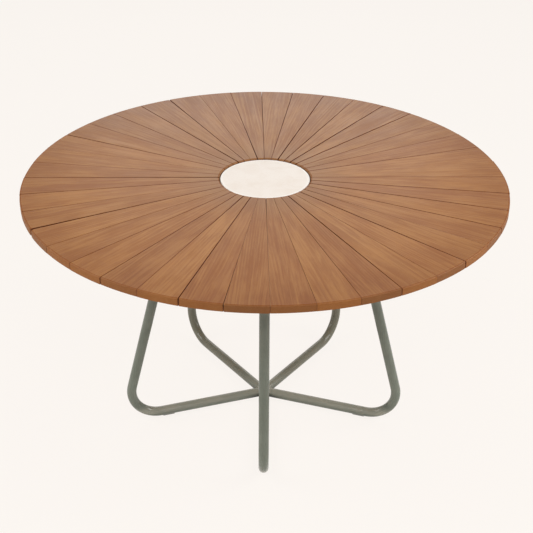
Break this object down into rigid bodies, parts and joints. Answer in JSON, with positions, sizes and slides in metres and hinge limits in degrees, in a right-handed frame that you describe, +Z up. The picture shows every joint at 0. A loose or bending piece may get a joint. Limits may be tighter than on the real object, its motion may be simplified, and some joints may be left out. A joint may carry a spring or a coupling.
{
  "type": "umbrella table",
  "caption": "Round slatted wooden patio table with a pale lift-out centre disc, on bent steel tube legs that meet in a star on the floor.",
  "frame": {"origin": "on the floor, under the centre of the round top", "axes": "+Z up; -Y is the front, where one leg points; +X is to the right seen from the front"},
  "size_m": [1.3198, 1.3198, 0.745],
  "materials": {
    "slats": "oiled, satin",
    "steel_frame": "satin powder coat, grey green",
    "centre_stone": "honed, matt",
    "plastic_trim": "matt",
    "rubber_pad": "matt"
  },
  "bodies": {
    "table": {"slat_01": "slats", "slat_02": "slats", "slat_03": "slats", "slat_04": "slats", "slat_05": "slats", "slat_06": "slats", "slat_07": "slats", "slat_08": "slats", "slat_09": "slats", "slat_10": "slats", "slat_11": "slats", "slat_12": "slats", "slat_13": "slats", "slat_14": "slats", "slat_15": "slats", "slat_16": "slats", "slat_17": "slats", "slat_18": "slats", "slat_19": "slats", "slat_20": "slats", "slat_21": "slats", "slat_22": "slats", "slat_23": "slats", "slat_24": "slats", "slat_25": "slats", "slat_26": "slats", "slat_27": "slats", "slat_28": "slats", "slat_29": "slats", "slat_30": "slats", "slat_31": "slats", "slat_32": "slats", "slat_33": "slats", "slat_34": "slats", "slat_35": "slats", "slat_36": "slats", "slat_37": "slats", "slat_38": "slats", "slat_39": "slats", "slat_40": "slats", "leg_tube_1": "steel_frame", "leg_tube_2": "steel_frame", "leg_tube_3": "steel_frame", "leg_tube_4": "steel_frame", "leg_tube_5": "steel_frame", "seat_ring": "steel_frame", "middle_ring": "steel_frame", "outer_ring": "steel_frame", "disc_pad": "rubber_pad", "foot_glide_1": "plastic_trim", "foot_glide_2": "plastic_trim", "foot_glide_3": "plastic_trim", "foot_glide_4": "plastic_trim", "foot_glide_5": "plastic_trim", "arm_plug_1": "plastic_trim", "arm_plug_2": "plastic_trim", "arm_plug_3": "plastic_trim", "arm_plug_4": "plastic_trim", "arm_plug_5": "plastic_trim"},
    "disc": {"centre_disc": "centre_stone"}
  },
  "joints": [
    {"name": "disc_lift", "type": "slide", "parent": "table", "child": "disc", "axis": [0, 0, 1], "range_m": [0, 0.04]}
  ]
}
